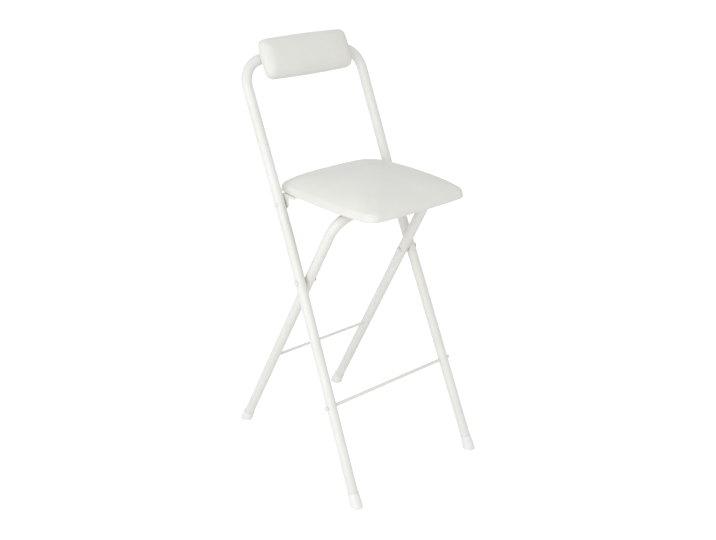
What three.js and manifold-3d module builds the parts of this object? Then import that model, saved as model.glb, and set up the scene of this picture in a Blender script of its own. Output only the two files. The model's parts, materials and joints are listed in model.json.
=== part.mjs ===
// Folding bar stool: bent-tube front frame with a back pad, rear frame riveted across it, hinged padded seat.
// Millimetres, +Z up, the stool faces -Y. Origin on the floor, at the middle of the footprint.
import * as THREE from "three";
import Module from "manifold-3d";
import { mergeVertices } from "three/addons/utils/BufferGeometryUtils.js";

const wasm = await Module();
wasm.setup();

// Driving sizes of the two tube frames
const footprintDepth = 538;
const frontSpread = 388;
const backSpacing = 351;
const rearTaper = 28;
const backTubeHeight = 988;
const splayHeight = 600;
const frontTilt = THREE.MathUtils.degToRad(23.5);
const tubeD = 25;
const tubeWall = 1.2;
const bendRadius = 60;
const splayRadius = 220;

// Clearance between pieces that move or are cut to each other
const fit = 0.3;
// Clearance of a flat disc against a tube that leans a little
const discFit = 0.45;
// How far a cutting tool runs past what it cuts
const overrun = 4;

// Plastic foot caps
const capWall = 0.8;
const capFlare = 0.7;
const capFootRim = 0.8;
const capLength = 24;
const capBaseLength = 12;
const capStep = 1;
const capSole = 4;
const capLipRound = 0.4;

// Footrest rod, its end screws, and the bar between the rear legs
const footrestHeight = 226;
const footrestD = 8;
const footrestScrewD = 4;
const footrestScrewDepth = 16;
const footrestHeadD = 10.4;
const footrestHeadRise = 9;
const rearBarHeight = 244;
const rearBarD = 7;

// Crossing rivets, nylon spacers and inner washers
const rivetD = 8;
const rivetHeadD = 15;
const rivetHeadRise = 2.6;
const rivetTailD = 13;
const rivetTailRise = 2.8;
const spacerD = 17;
const spacerThick = 2.3;
const rivetWasherD = 17;
const rivetWasherThick = 1.2;

// Seat pad
const seatPivotHeight = 678;
const seatSideGap = 2.2;
const seatDepth = 334;
const seatSideBow = 13.8;
const seatEndBow = 5.5;
const seatFrontCorner = 27;
const seatBackCorner = 57;
const seatHingeShift = 12;
const seatRise = 20.1;
const seatEdge = 25.8;
const seatCrown = 12;
const seatBoardThick = 9;
const coverThick = 1.2;
const seatMargin = 16;

// Back pad
const backWidth = 254;
const backHeight = 95;
const backBow = 2.5;
const backCorner = 15;
const backEdge = 24;
const backCrown = 6;
const backDrop = 6.2;
const backBoardThick = 7;
const backMargin = 16;
const backBoltSpacing = 150;
const backBoltD = 5;
const backBoltHeadD = 10;
const backBoltHeadRise = 3.2;
const teeNutFlangeD = 15;
const teeNutFlangeThick = 1.4;
const teeNutWall = 0.8;
const teeNutLength = 5.6;

// Seat hinge brackets and their bolts
const bracketThick = 2;
const bracketEarRadius = 13;
const bracketCorner = 6;
const bracketBend = 3;
const bracketTip = 3;
const hingeBoltD = 6;
const hingeHeadD = 13;
const hingeHeadRise = 2.4;
const hingeWasherD = 17;
const hingeWasherThick = 1.5;
const hingeNutFlats = 10;
const hingeNutThick = 5;
const hingeBoltTail = 1.8;

// Hooks under the seat that catch the rear frame's top tube
const hookThick = 2.5;
const hookWidth = 26;
const hookSetback = 113;
const hookBendGap = 3.5;
const hookLip = THREE.MathUtils.degToRad(30);

// Pan-head screws into the seat board
const screwD = 4;
const screwHeadD = 8.4;
const screwHeadRise = 2.4;
const screwBite = 7;
const bracketScrewSetback = 7;
const bracketScrewPitch = 22;
const bracketScrewSide = 8;
const bracketScrewInset = 12;
const bracketScrewHemGap = 6.6;
const hookScrewPitch = 20;
const hookScrewInset = 10;

// Facet counts
const tubeSides = 20;
const bendSteps = 8;
const splaySteps = 2;
const roundSides = 16;
const smallSides = 10;
const nutSides = 6;
const domeSteps = 3;
const cornerSteps = 5;
const sideSteps = 3;

// Foot cap radii, from the tube outwards
const tubeR = tubeD / 2;
const capBore = (tubeR + fit) / Math.cos(Math.PI / tubeSides);
const capTopR = capBore + capWall;
const capNeckR = capTopR + capFlare;
const capBaseR = capNeckR + capFootRim;

// Front legs: they lean back from the floor, and splay below the bend
const frontFootY = capBaseR / Math.cos(frontTilt) - footprintDepth / 2;
const frontLegY = (z) => frontFootY + z * Math.tan(frontTilt);
const frontLegX = (z) => {
  const share = Math.max(0, 1 - z / splayHeight);
  return THREE.MathUtils.lerp(backSpacing, frontSpread, share) / 2;
};

// Seat hinge on the front legs, and the rear frame's top tube in its hooks under the seat
const seatPivotY = frontLegY(seatPivotHeight);
const seatWidth = backSpacing - tubeD - 2 * (seatSideGap + seatSideBow);
const seatOverhang = seatBackCorner - seatHingeShift;
const seatBoardUnder = seatRise + coverThick + fit;
const hookTop = seatBoardUnder - fit;
const hookY = hookSetback + seatOverhang - seatDepth;
const hookZ = hookTop - hookThick - fit - tubeR;
const rearTopHeight = seatPivotHeight + hookZ;
const rearTopY = seatPivotY + hookY;

// Rear legs: straight from the top tube to the feet, so their lean follows from the footprint
const rearReach = footprintDepth / 2 - rearTopY;
const rearLine = Math.hypot(rearReach, rearTopHeight);
const rearTilt = Math.atan2(rearReach, rearTopHeight) - Math.asin(capBaseR / rearLine);
const rearFootY = rearTopY + rearTopHeight * Math.tan(rearTilt);
const rearLegY = (z) => rearFootY - z * Math.tan(rearTilt);

// Crossing: the rear frame runs inside the front one, a spacer apart
const crossHeight = (rearFootY - frontFootY) / (Math.tan(frontTilt) + Math.tan(rearTilt));
const crossY = frontLegY(crossHeight);
const rearCrossX = frontLegX(crossHeight) - tubeD - spacerThick - 2 * discFit;
const rearLegX = (z) => rearCrossX + ((rearTaper / 2) * (crossHeight - z)) / rearTopHeight;

// Materials
const colours = {
  coat: { color: 0xece9e0, roughness: 0.42, metalness: 0.0 },
  vinyl: { color: 0xe9e7e1, roughness: 0.5, metalness: 0.0 },
  foam: { color: 0xe8d9a8, roughness: 0.95, metalness: 0.0 },
  wood: { color: 0xb98d5c, roughness: 0.75, metalness: 0.0 },
  cap: { color: 0xdedcd5, roughness: 0.55, metalness: 0.0 },
  nylon: { color: 0xd9cda2, roughness: 0.5, metalness: 0.0 },
  zinc: { color: 0xc6c6c2, roughness: 0.35, metalness: 0.9 },
};

// Adds a named mesh with its own material to a parent group
function piece(parent, name, finish, geometry, place = new THREE.Vector3()) {
  const mesh = new THREE.Mesh(geometry, new THREE.MeshStandardMaterial(colours[finish]));
  mesh.name = name;
  mesh.position.copy(place);
  parent.add(mesh);
  return mesh;
}

// Booleans on closed geometries
function toSolid(geometry) {
  const bare = geometry.clone();
  bare.deleteAttribute("normal");
  bare.deleteAttribute("uv");
  const merged = mergeVertices(bare);
  const triVerts = new Uint32Array(merged.index.array);
  const vertProperties = new Float32Array(merged.attributes.position.array);
  return new wasm.Manifold(new wasm.Mesh({ numProp: 3, vertProperties, triVerts }));
}

function toGeometry(solid) {
  const mesh = solid.getMesh();
  const geometry = new THREE.BufferGeometry();
  geometry.setAttribute("position", new THREE.BufferAttribute(mesh.vertProperties, 3));
  geometry.setIndex(new THREE.BufferAttribute(mesh.triVerts, 1));
  geometry.computeVertexNormals();
  return geometry;
}

function cut(geometry, ...tools) {
  return toGeometry(tools.reduce((solid, tool) => solid.subtract(toSolid(tool)), toSolid(geometry)));
}

function join(...geometries) {
  return toGeometry(geometries.map(toSolid).reduce((a, b) => a.add(b)));
}

// A revolved solid about +Z from [radius, height] pairs that start and end on the axis or close on themselves
function revolve(pairs, sides = smallSides) {
  return new THREE.LatheGeometry(pairs.map(([r, z]) => new THREE.Vector2(r, z)), sides).rotateX(Math.PI / 2);
}

// A round rod or drill along +Z between two heights; a drill's flats clear the radius
function rod(radius, low, high, sides = smallSides) {
  return revolve([[0, high], [radius, high], [radius, low], [0, low]].reverse(), sides);
}

function drill(radius, low, high, sides = smallSides) {
  return rod(radius / Math.cos(Math.PI / sides), low, high, sides);
}

// A flat disc with a hole, from z = 0 up
function ring(outer, inner, thick, sides = roundSides) {
  const hole = inner / Math.cos(Math.PI / sides);
  return revolve([[hole, 0], [outer, 0], [outer, thick], [hole, thick], [hole, 0]], sides);
}

// The curved outline of a dome from its rim to its top
function domePairs(radius, rise, base) {
  const pairs = [];
  for (let i = 0; i <= domeSteps; i += 1) {
    const a = (i / domeSteps) * (Math.PI / 2);
    pairs.push([radius * Math.cos(a), base + rise * Math.sin(a)]);
  }
  pairs[domeSteps][0] = 0;
  return pairs;
}

// A fastener along +Z: shank below z = 0, domed head above it
function domeHeadPin(shankR, length, headR, rise, sides = smallSides) {
  return revolve([[0, -length], [shankR, -length], [shankR, 0], ...domePairs(headR, rise, 0)], sides);
}

// Turns a +Z solid so that it points along +X or -X
const outwards = (geometry, side) => geometry.rotateY((side * Math.PI) / 2);

// A path of straight runs with round bends; its stations lie only where the tube bends
class BentPath extends THREE.Curve {
  constructor(corners, bends) {
    super();
    this.stations = [{ point: corners[0], tangent: corners[1].clone().sub(corners[0]).normalize() }];
    for (let i = 1; i < corners.length - 1; i += 1) {
      this.addBend(corners[i - 1], corners[i], corners[i + 1], bends[i - 1]);
    }
    const end = corners[corners.length - 1];
    const before = corners[corners.length - 2];
    this.stations.push({ point: end, tangent: end.clone().sub(before).normalize() });
  }

  addBend(from, corner, to, { radius, steps }) {
    const into = corner.clone().sub(from).normalize();
    const out = to.clone().sub(corner).normalize();
    const turn = into.angleTo(out);
    const axis = into.clone().cross(out).normalize();
    const start = corner.clone().addScaledVector(into, -radius * Math.tan(turn / 2));
    const centre = start.clone().addScaledVector(axis.clone().cross(into), radius);
    for (let i = 0; i <= steps; i += 1) {
      const a = (i / steps) * turn;
      const point = start.clone().sub(centre).applyAxisAngle(axis, a).add(centre);
      this.stations.push({ point, tangent: into.clone().applyAxisAngle(axis, a) });
    }
  }

  at(u) {
    return this.stations[Math.round(u * (this.stations.length - 1))];
  }

  getPointAt(u) {
    return this.at(u).point.clone();
  }

  getTangentAt(u) {
    return this.at(u).tangent.clone();
  }
}

function tube(path, outer, inner) {
  const section = new THREE.Shape().absarc(0, 0, outer, 0, Math.PI * 2);
  if (inner) {
    section.holes.push(new THREE.Path().absarc(0, 0, inner, 0, Math.PI * 2));
  }
  const steps = path.stations.length - 1;
  return new THREE.ExtrudeGeometry(section, { steps, curveSegments: tubeSides / 2, extrudePath: path });
}

const mirror = (point) => new THREE.Vector3(-point.x, point.y, point.z);

// The two legs and bends of an inverted U, in its group's own frame
function bentFrame(leftCorners, bends) {
  const corners = [...leftCorners, ...leftCorners.map(mirror).reverse()];
  return new BentPath(corners, [...bends, ...[...bends].reverse()]);
}

// A leg's axis at the floor: where the foot cap sits and which way the leg runs
function legFrame(foot, above) {
  const along = above.clone().sub(foot).normalize();
  const turn = new THREE.Quaternion().setFromUnitVectors(new THREE.Vector3(0, 0, 1), along);
  return { foot, along, turn };
}

// How far above the floor, along the leg, the tube is cut off inside its cap
function tubeStart(leg) {
  const lean = Math.acos(leg.along.z);
  return (capSole + tubeR * Math.sin(lean)) / Math.cos(lean);
}

// A foot cap: a stepped sleeve over the tube's end with a sole cut level with the floor
function footCap(leg) {
  const start = tubeStart(leg) - fit;
  const top = start + capLength;
  const deep = -capBaseR * Math.tan(Math.acos(leg.along.z)) - overrun;
  const sleeve = revolve(
    [
      [0, start],
      [0, deep],
      [capBaseR, deep],
      [capBaseR, capBaseLength],
      [capNeckR, capBaseLength + capStep],
      [capTopR, top - capLipRound],
      [capTopR - capLipRound, top],
      [capBore, top],
      [capBore, start],
      [0, start],
    ],
    tubeSides,
  );
  const floorBlock = new THREE.BoxGeometry(capBaseR * 6, capBaseR * 6, capBaseR * 4);
  floorBlock.translate(0, 0, -capBaseR * 2);
  floorBlock.applyQuaternion(leg.turn.clone().invert());
  return cut(sleeve, floorBlock);
}

// Pad outline: a rounded rectangle whose sides bow out a little, as points round it
function padOutline({ halfW, halfD, nearCorner, farCorner, sideBow, endBow }) {
  const quarter = Math.PI / 2;
  const centres = [[1, 1], [-1, 1], [-1, -1], [1, -1]];
  const onCorner = (k, turn) => {
    const [sx, sy] = centres[k % centres.length];
    const corner = sy > 0 ? farCorner : nearCorner;
    const a = quarter * turn;
    const centre = new THREE.Vector2(sx * (halfW - corner), sy * (halfD - corner));
    return centre.add(new THREE.Vector2(Math.cos(a), Math.sin(a)).multiplyScalar(corner));
  };
  const points = centres.flatMap((_, k) => {
    const round = Array.from({ length: cornerSteps + 1 }, (_, i) => onCorner(k, k + i / cornerSteps));
    const start = round[cornerSteps];
    const end = onCorner(k + 1, k + 1);
    const part = 1 / (sideSteps + 1);
    const straight = Array.from({ length: sideSteps }, (_, i) => start.clone().lerp(end, (i + 1) * part));
    return [...round, ...straight];
  });
  return points.map(({ x, y }) => {
    const bowX = (sideBow * (1 - (y / halfD) ** 2) * x) / halfW;
    const bowY = (endBow * (1 - (x / halfW) ** 2) * y) / halfD;
    return new THREE.Vector2(x + bowX, y + bowY);
  });
}

// A closed skin through rings of [inset, height, share drawn in], with a pole at each end
function loftRings(outline, halfW, halfD, profile, startPole, endPole) {
  const count = outline.length;
  const positions = [0, 0, startPole];
  profile.forEach(([inset, z, drawn = 0]) => {
    const sx = (1 - inset / halfW) * (1 - drawn);
    const sy = (1 - inset / halfD) * (1 - drawn);
    outline.forEach(({ x, y }) => positions.push(x * sx, y * sy, z));
  });
  positions.push(0, 0, endPole);
  const index = [];
  const last = 1 + count * profile.length;
  for (let i = 0; i < count; i += 1) {
    const j = (i + 1) % count;
    index.push(0, 1 + j, 1 + i);
    for (let k = 0; k < profile.length - 1; k += 1) {
      const a = 1 + k * count;
      const b = a + count;
      index.push(a + i, b + j, b + i, a + i, a + j, b + j);
    }
    const c = last - count;
    index.push(c + i, c + j, last);
  }
  const geometry = new THREE.BufferGeometry();
  geometry.setAttribute("position", new THREE.Float32BufferAttribute(positions, 3));
  geometry.setIndex(index);
  geometry.computeVertexNormals();
  return geometry;
}

// Shares of the edge height and of the edge's roll that shape a pad's rim, from its back to its crown
const rimShares = [
  [0.16, 0.0],
  [0.05, 0.07],
  [0.0, 0.24],
  [0.0, 0.46],
  [0.07, 0.7],
  [0.21, 0.88],
  [0.42, 1.0],
];
// Shares of the way to the middle and of the crown's rise
const crownShares = [
  [0.2, 0.42],
  [0.4, 0.72],
  [0.62, 0.9],
  [0.82, 0.98],
];

// The rim and crown of a pad, shrunk by a skin thickness
function padProfile({ edge, crown }, skin) {
  const rim = rimShares.map(([inset, z]) => [inset * edge + skin, skin + z * (edge - 2 * skin)]);
  const [rimInset] = rim[rim.length - 1];
  const rest = crownShares.map(([drawn, z]) => [rimInset, edge + z * crown - skin, drawn]);
  return [...rim, ...rest];
}

// The sewn cover: an outer skin, turned under the board by a margin, and its inner face
function padCover(outline, pad) {
  const outer = padProfile(pad, 0);
  const inner = padProfile(pad, coverThick);
  const hem = [
    [pad.margin, coverThick],
    [pad.margin, 0],
  ];
  const profile = [...inner.reverse(), ...hem, ...outer];
  const top = pad.edge + pad.crown;
  return loftRings(outline, pad.halfW, pad.halfD, profile, top - coverThick, top);
}

// The foam block between the board and the cover
function padFoam(outline, pad) {
  const skin = coverThick + fit;
  const floor = skin + pad.boardThick + fit;
  const inner = padProfile(pad, skin).filter(([, z]) => z > floor);
  const [edgeInset] = inner[0];
  const profile = [[edgeInset, floor], ...inner];
  return loftRings(outline, pad.halfW, pad.halfD, profile, floor, pad.edge + pad.crown - skin);
}

// The plywood board, with a drilled hole for each fastener
function padBoard(outline, pad, holes) {
  const inset = rimShares[0][0] * pad.edge + coverThick + fit;
  const share = new THREE.Vector2(1 - inset / pad.halfW, 1 - inset / pad.halfD);
  const shape = new THREE.Shape(outline.map((p) => p.clone().multiply(share)));
  holes.forEach(({ x, y, radius }) => {
    const hole = new THREE.Path();
    hole.absarc(x, y, radius / Math.cos(Math.PI / smallSides), 0, Math.PI * 2);
    shape.holes.push(hole);
  });
  const options = { depth: pad.boardThick, bevelEnabled: false, curveSegments: smallSides / 2 };
  return new THREE.ExtrudeGeometry(shape, options).translate(0, 0, coverThick + fit);
}

const stool = new THREE.Group();
const sides = [
  { word: "left", side: -1 },
  { word: "right", side: 1 },
];

// Front frame: splayed legs up to a slight bend under the seat, parallel uprights above it, and the top bends
const frontFrame = new THREE.Group();
stool.add(frontFrame);

const topBend = { radius: bendRadius, steps: bendSteps };
const splayBend = { radius: splayRadius, steps: splaySteps };
const frontPoint = (z) => new THREE.Vector3(-frontLegX(z), frontLegY(z), z);
const frontLeg = legFrame(frontPoint(0), frontPoint(splayHeight));
const frontStart = frontLeg.foot.clone().addScaledVector(frontLeg.along, tubeStart(frontLeg));
const frontCorners = [frontStart, frontPoint(splayHeight), frontPoint(backTubeHeight)];
const frontPath = bentFrame(frontCorners, [splayBend, topBend]);

const across = (radius, x, y, z) => drill(radius, -x, x).rotateY(Math.PI / 2).translate(0, y, z);
const crossDrill = across(rivetD / 2 + fit, frontSpread, crossY, crossHeight);
const hingeDrill = across(hingeBoltD / 2 + fit, frontSpread, seatPivotY, seatPivotHeight);
const footrestY = frontLegY(footrestHeight);
const footrestDrill = across(footrestD / 2 + fit, frontSpread, footrestY, footrestHeight);
const backFrame = new THREE.Group();
const backTubeY = frontLegY(backTubeHeight);
backFrame.position.set(0, backTubeY, backTubeHeight);
backFrame.rotation.x = Math.PI / 2 - frontTilt;
backFrame.updateMatrix();
const backBoltDrills = sides.map(({ side }) =>
  drill(backBoltD / 2 + fit, -tubeD, tubeD)
    .translate((side * backBoltSpacing) / 2, 0, 0)
    .applyMatrix4(backFrame.matrix),
);
const frontTube = tube(frontPath, tubeR, tubeR - tubeWall);
const frontDrills = [crossDrill, hingeDrill, footrestDrill, ...backBoltDrills];
piece(frontFrame, "front_frame_tube", "coat", cut(frontTube, ...frontDrills));

// Footrest rod through both front legs, held by a screw in each end
const footrestEnd = frontLegX(footrestHeight) + tubeR;
const footrestBores = sides.map(({ side }) =>
  outwards(drill(footrestScrewD / 2 + fit, -footrestScrewDepth - fit, overrun), side).translate(
    side * footrestEnd,
    0,
    0,
  ),
);
const footrestBar = rod(footrestD / 2, -footrestEnd, footrestEnd, roundSides).rotateY(Math.PI / 2);
const footrestPlace = new THREE.Vector3(0, footrestY, footrestHeight);
piece(frontFrame, "footrest_rod", "coat", cut(footrestBar, ...footrestBores), footrestPlace);
sides.forEach(({ word, side }) => {
  const screw = domeHeadPin(footrestScrewD / 2, footrestScrewDepth, footrestHeadD / 2, footrestHeadRise);
  const place = footrestPlace.clone().setX(side * (footrestEnd + discFit));
  piece(frontFrame, `footrest_screw_${word}`, "coat", outwards(screw, side), place);
});

// Rear frame: tapered legs with a round top bend, held by the crossing rivets
const rearFrame = new THREE.Group();
rearFrame.position.set(0, crossY, crossHeight);
stool.add(rearFrame);
const pivot = rearFrame.position;
const rearPoint = (z) => new THREE.Vector3(-rearLegX(z), rearLegY(z), z).sub(pivot);
const rearLeg = legFrame(rearPoint(0), rearPoint(rearTopHeight));
const rearStart = rearLeg.foot.clone().addScaledVector(rearLeg.along, tubeStart(rearLeg));
const rearPath = bentFrame([rearStart, rearPoint(rearTopHeight)], [topBend]);
const rearTube = tube(rearPath, tubeR, tubeR - tubeWall);
const rearCrossDrill = across(rivetD / 2 + fit, frontSpread, 0, 0);
piece(rearFrame, "rear_frame_tube", "coat", cut(rearTube, rearCrossDrill));

// Bar welded between the rear legs: its ends are coped to the tubes
const rearBarPlace = new THREE.Vector3(0, rearLegY(rearBarHeight), rearBarHeight).sub(pivot);
const rearBarHalf = rearLegX(rearBarHeight);
const copeTools = sides.map(({ side }) => {
  const leg = rod(capBore, -tubeD * 2, tubeD * 2, tubeSides);
  const along = rearLeg.along.clone();
  along.x *= -side;
  leg.applyQuaternion(new THREE.Quaternion().setFromUnitVectors(new THREE.Vector3(0, 0, 1), along));
  return leg.translate(side * rearBarHalf, 0, 0);
});
const rearBar = rod(rearBarD / 2, -rearBarHalf, rearBarHalf, roundSides).rotateY(Math.PI / 2);
piece(rearFrame, "rear_crossbar", "coat", cut(rearBar, ...copeTools), rearBarPlace);

// Four foot caps
[
  { parent: frontFrame, leg: frontLeg, row: "front" },
  { parent: rearFrame, leg: rearLeg, row: "rear" },
].forEach(({ parent, leg, row }) => {
  sides.forEach(({ word, side }) => {
    const own = side < 0 ? leg : legFrame(mirror(leg.foot), mirror(leg.foot.clone().add(leg.along)));
    const cap = piece(parent, `foot_cap_${row}_${word}`, "cap", footCap(own), own.foot);
    cap.quaternion.copy(own.turn);
  });
});

// Crossing pivots: a rivet through both tubes, a nylon spacer between them, a washer under the formed end
const rivetHeadAt = frontLegX(crossHeight) + tubeR + discFit;
const spacerIn = rearLegX(crossHeight) + tubeR + discFit;
const washerOut = rearLegX(crossHeight) - tubeR - discFit;
const tailAt = washerOut - rivetWasherThick - fit;
sides.forEach(({ word, side }) => {
  const along = rivetHeadAt - tailAt;
  const tail = domePairs(rivetTailD / 2, rivetTailRise, 0).map(([r, z]) => [r, -along - z]);
  const head = domePairs(rivetHeadD / 2, rivetHeadRise, 0);
  const shank = [
    [rivetD / 2, -along],
    [rivetD / 2, 0],
  ];
  const rivet = revolve([...tail.reverse(), ...shank, ...head], roundSides);
  const at = (x) => new THREE.Vector3(side * x, crossY, crossHeight);
  piece(frontFrame, `crossing_rivet_${word}`, "coat", outwards(rivet, side), at(rivetHeadAt));
  const spacer = ring(spacerD / 2, rivetD / 2 + fit, spacerThick);
  piece(frontFrame, `crossing_spacer_${word}`, "nylon", outwards(spacer, side), at(spacerIn));
  const washer = ring(rivetWasherD / 2, rivetD / 2 + fit, rivetWasherThick);
  const washerAt = at(washerOut - rivetWasherThick);
  piece(frontFrame, `crossing_washer_${word}`, "zinc", outwards(washer, side), washerAt);
});

// Seat: hung on its hinge axis, local x across, y to the back, z up
const seat = new THREE.Group();
seat.position.set(0, seatPivotY, seatPivotHeight);
stool.add(seat);

const seatPad = {
  halfW: seatWidth / 2,
  halfD: seatDepth / 2,
  nearCorner: seatFrontCorner,
  farCorner: seatBackCorner,
  sideBow: seatSideBow,
  endBow: seatEndBow,
  edge: seatEdge,
  crown: seatCrown,
  margin: seatMargin,
  boardThick: seatBoardThick,
};
const seatOutline = padOutline(seatPad);
const seatMiddle = new THREE.Vector3(0, seatOverhang - seatDepth / 2, seatRise);

// Stack across each hinge, from the leg's inner face inwards
const hingeLegFace = frontLegX(seatPivotHeight) - tubeR;
const hingeWasherOut = hingeLegFace - fit;
const earOut = hingeWasherOut - hingeWasherThick - fit;
const earIn = earOut - bracketThick;
const nutOut = earIn - fit;
const nutIn = nutOut - hingeNutThick;

// Bracket screws clear of the cover's hem, and the flange that carries them in front of the hinge
const bracketScrewX = seatPad.halfW - seatMargin - bracketScrewHemGap;
const bracketFront = -(bracketScrewSetback + bracketScrewPitch + bracketScrewSide);
const bracketInner = bracketScrewX - bracketScrewInset;

// A folded hinge bracket: a flange under the board's edge, and a rounded ear on the hinge bolt that
// tapers to the front
function hingeBracket(side) {
  const flangeTop = seatRise - fit;
  const front = bracketFront;
  const back = bracketEarRadius;
  const ear = new THREE.Shape();
  ear.moveTo(front, flangeTop);
  ear.lineTo(front, flangeTop - bracketThick - bracketTip);
  ear.lineTo(-back, 0);
  ear.quadraticCurveTo(-back, -back, 0, -back);
  ear.quadraticCurveTo(back, -back, back, 0);
  ear.lineTo(back, flangeTop);
  ear.closePath();
  const bolt = new THREE.Path();
  bolt.absarc(0, 0, (hingeBoltD / 2 + fit) / Math.cos(Math.PI / smallSides), 0, Math.PI * 2);
  ear.holes.push(bolt);
  const options = { depth: bracketThick, bevelEnabled: false, curveSegments: smallSides / 2 };
  const plate = new THREE.ExtrudeGeometry(ear, options);
  plate.rotateZ(Math.PI / 2).rotateY(Math.PI / 2).translate(earIn, 0, 0);

  const inner = bracketInner;
  const flange = new THREE.Shape();
  flange.moveTo(earOut, front);
  flange.lineTo(earOut, back);
  flange.lineTo(inner + bracketCorner, back);
  flange.quadraticCurveTo(inner, back, inner, back - bracketCorner);
  flange.lineTo(inner, front + bracketCorner);
  flange.quadraticCurveTo(inner, front, inner + bracketCorner, front);
  flange.closePath();
  bracketScrews(1).forEach(({ x, y }) => {
    const hole = new THREE.Path();
    hole.absarc(x, y, (screwD / 2 + fit) / Math.cos(Math.PI / smallSides), 0, Math.PI * 2);
    flange.holes.push(hole);
  });
  const top = new THREE.ExtrudeGeometry(flange, options).translate(0, 0, flangeTop - bracketThick);

  const web = new THREE.Shape();
  web.moveTo(earIn, flangeTop - bracketThick);
  web.lineTo(earIn - bracketBend, flangeTop - bracketThick);
  web.quadraticCurveTo(earIn, flangeTop - bracketThick, earIn, flangeTop - bracketThick - bracketBend);
  web.closePath();
  const fold = new THREE.ExtrudeGeometry(web, { ...options, depth: back - front });
  fold.rotateX(Math.PI / 2).translate(0, back, 0);
  const whole = join(plate, top, fold);
  return side > 0 ? whole : cutMirror(whole);
}

// The same solid on the other side of the stool
function cutMirror(geometry) {
  const copy = geometry.clone().scale(-1, 1, 1);
  const order = copy.index.array;
  for (let i = 0; i < order.length; i += 3) {
    [order[i], order[i + 1]] = [order[i + 1], order[i]];
  }
  copy.computeVertexNormals();
  return copy;
}

function bracketScrews(side) {
  const y = -bracketScrewSetback;
  return [0, 1].map((row) => ({ x: side * bracketScrewX, y: y - row * bracketScrewPitch }));
}

// A hook: a plate under the board that turns down round the front of the tube and a little under it
const hookX = rearLegX(rearTopHeight) - bendRadius - hookBendGap - hookWidth / 2;
const hookPlate = hookScrewPitch + 2 * hookScrewInset;
function tubeHook() {
  const inner = tubeR + fit;
  const outer = inner + hookThick;
  const shape = new THREE.Shape();
  const high = hookZ + outer;
  shape.moveTo(hookY, hookZ + inner);
  shape.absarc(hookY, hookZ, inner, Math.PI / 2, Math.PI + hookLip, false);
  shape.lineTo(hookY - outer * Math.cos(hookLip), hookZ - outer * Math.sin(hookLip));
  shape.absarc(hookY, hookZ, outer, Math.PI + hookLip, Math.PI, true);
  shape.lineTo(hookY - outer, high - hookThick);
  shape.lineTo(hookY - outer - hookPlate, high - hookThick);
  shape.lineTo(hookY - outer - hookPlate, high);
  shape.lineTo(hookY, high);
  shape.closePath();
  const options = { depth: hookWidth, bevelEnabled: false, curveSegments: smallSides / 2 };
  const strip = new THREE.ExtrudeGeometry(shape, options);
  return strip.rotateZ(Math.PI / 2).rotateY(Math.PI / 2).translate(-hookWidth / 2, 0, 0);
}

function hookScrews(side) {
  const y = hookY - tubeR - fit - hookThick - hookScrewInset;
  return [0, 1].map((row) => ({ x: side * hookX, y: y - row * hookScrewPitch }));
}

// Seat board, foam and cover
const seatScrews = sides.flatMap(({ side }) => [...bracketScrews(side), ...hookScrews(side)]);
const seatHoles = seatScrews.map(({ x, y }) => ({
  x: x - seatMiddle.x,
  y: y - seatMiddle.y,
  radius: screwD / 2 + fit,
}));
piece(seat, "seat_board", "wood", padBoard(seatOutline, seatPad, seatHoles), seatMiddle);
piece(seat, "seat_foam", "foam", padFoam(seatOutline, seatPad), seatMiddle);
piece(seat, "seat_cover", "vinyl", padCover(seatOutline, seatPad), seatMiddle);

sides.forEach(({ word, side }) => {
  piece(seat, `seat_bracket_${word}`, "coat", hingeBracket(side));
  const hook = tubeHook();
  const drills = hookScrews(0).map(({ y }) => drill(screwD / 2 + fit, -tubeD, tubeD).translate(0, y, hookZ));
  const hookAt = new THREE.Vector3(side * hookX, 0, 0);
  piece(seat, `tube_hook_${word}`, "coat", cut(hook, ...drills), hookAt);

  const bracketUnder = seatRise - fit - bracketThick - fit;
  const hookUnder = hookTop - hookThick - fit;
  [
    { kind: "bracket_screw", spots: bracketScrews(side), under: bracketUnder },
    { kind: "hook_screw", spots: hookScrews(side), under: hookUnder },
  ].forEach(({ kind, spots, under }) => {
    const shank = seatBoardUnder - under + screwBite;
    spots.forEach(({ x, y }, i) => {
      const screw = domeHeadPin(screwD / 2, shank, screwHeadD / 2, screwHeadRise).rotateX(Math.PI);
      piece(seat, `${kind}_${word}_${i + 1}`, "zinc", screw, new THREE.Vector3(x, y, under));
    });
  });
});

// Hinge bolts through the front legs, with washers and nuts
const hingeHeadAt = frontLegX(seatPivotHeight) + tubeR + fit;
sides.forEach(({ word, side }) => {
  const at = (x) => new THREE.Vector3(side * x, seatPivotY, seatPivotHeight);
  const length = hingeHeadAt - nutIn + hingeBoltTail;
  const bolt = domeHeadPin(hingeBoltD / 2, length, hingeHeadD / 2, hingeHeadRise, roundSides);
  piece(frontFrame, `seat_hinge_bolt_${word}`, "coat", outwards(bolt, side), at(hingeHeadAt));
  const washer = ring(hingeWasherD / 2, hingeBoltD / 2 + fit, hingeWasherThick);
  const washerAt = at(hingeWasherOut - hingeWasherThick);
  piece(frontFrame, `seat_hinge_washer_${word}`, "nylon", outwards(washer, side), washerAt);
  const nutR = hingeNutFlats / 2 / Math.cos(Math.PI / nutSides);
  const nutDrill = drill(hingeBoltD / 2 + fit, -overrun, hingeNutThick + overrun);
  const nut = cut(rod(nutR, 0, hingeNutThick, nutSides), nutDrill);
  piece(frontFrame, `seat_hinge_nut_${word}`, "zinc", outwards(nut, side), at(nutIn));
});

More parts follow.
